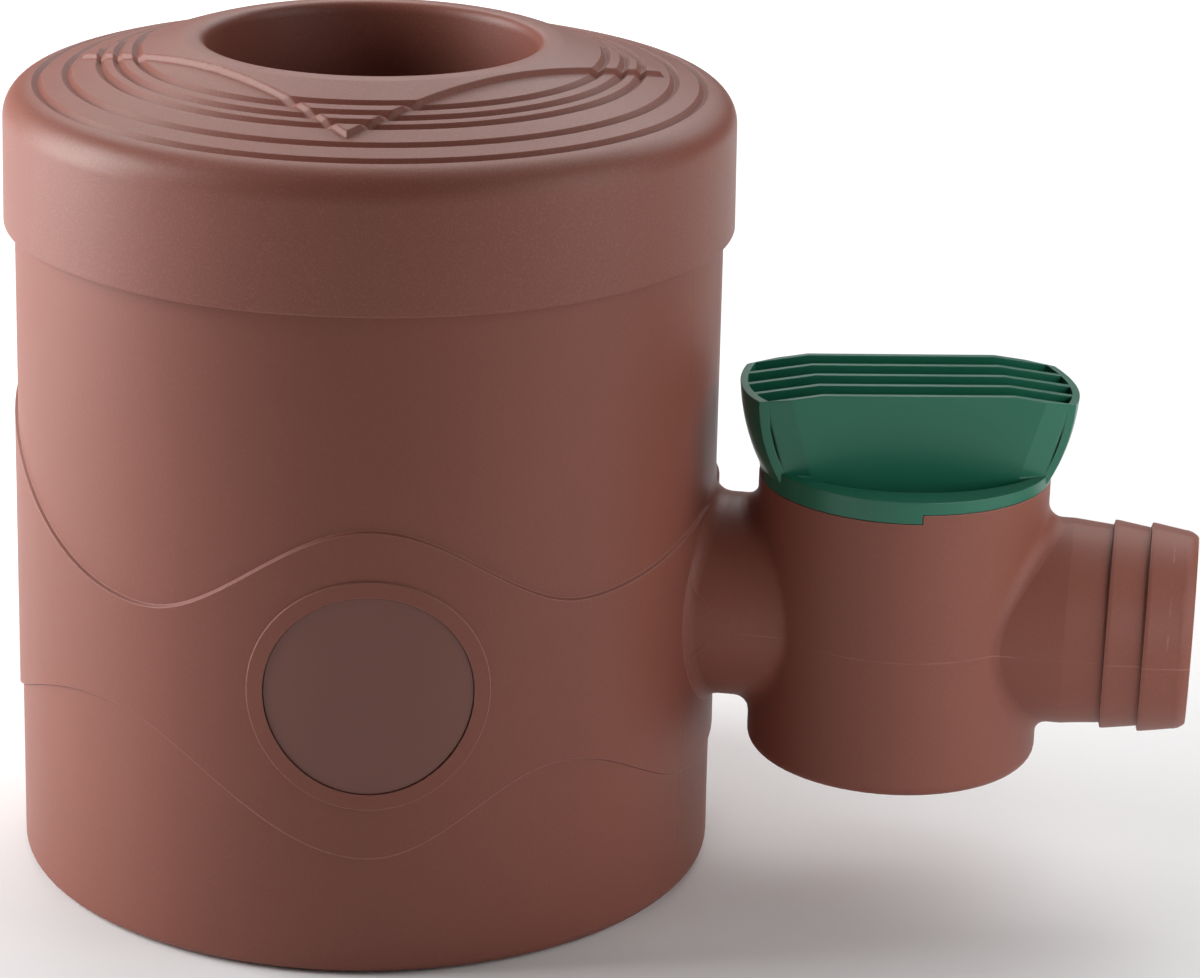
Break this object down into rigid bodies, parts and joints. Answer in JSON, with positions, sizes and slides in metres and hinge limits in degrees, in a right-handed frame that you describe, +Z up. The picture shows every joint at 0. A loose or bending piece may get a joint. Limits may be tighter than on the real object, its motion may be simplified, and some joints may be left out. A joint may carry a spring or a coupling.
{
  "type": "rainwater diverter",
  "caption": "Rainwater diverter for a round downpipe: round housing with push-on lid, side outlet with rotary shut-off knob and barbed hose tail.",
  "frame": {"origin": "where the housing's upright axis meets the plane of its foot", "axes": "+Z up along the downpipe, +X along the side outlet towards the hose"},
  "size_m": [0.371, 0.2238, 0.26],
  "materials": {
    "housing_plastic": "fine-grained moulded plastic, brown-red",
    "lid_plastic": "grained moulded plastic, brown-red",
    "disc_plastic": "smooth glossy moulded plastic, brown-red",
    "sleeve_plastic": "plain dark moulded plastic",
    "knob_plastic": "semi-gloss moulded plastic, dark green",
    "seal_rubber": "black rubber"
  },
  "bodies": {
    "housing": {"body": "housing_plastic", "standpipe": "housing_plastic", "lid": "lid_plastic", "front_disc": "disc_plastic", "filter_sleeve": "sleeve_plastic"},
    "knob": {"shutoff_knob": "knob_plastic", "knob_seal_ring": "seal_rubber"}
  },
  "joints": [
    {"name": "knob_turn", "type": "hinge", "parent": "housing", "child": "knob", "pos_m": [0.1682, 0, 0.138], "axis": [0, 0, 1], "range_deg": [-90, 0]}
  ]
}
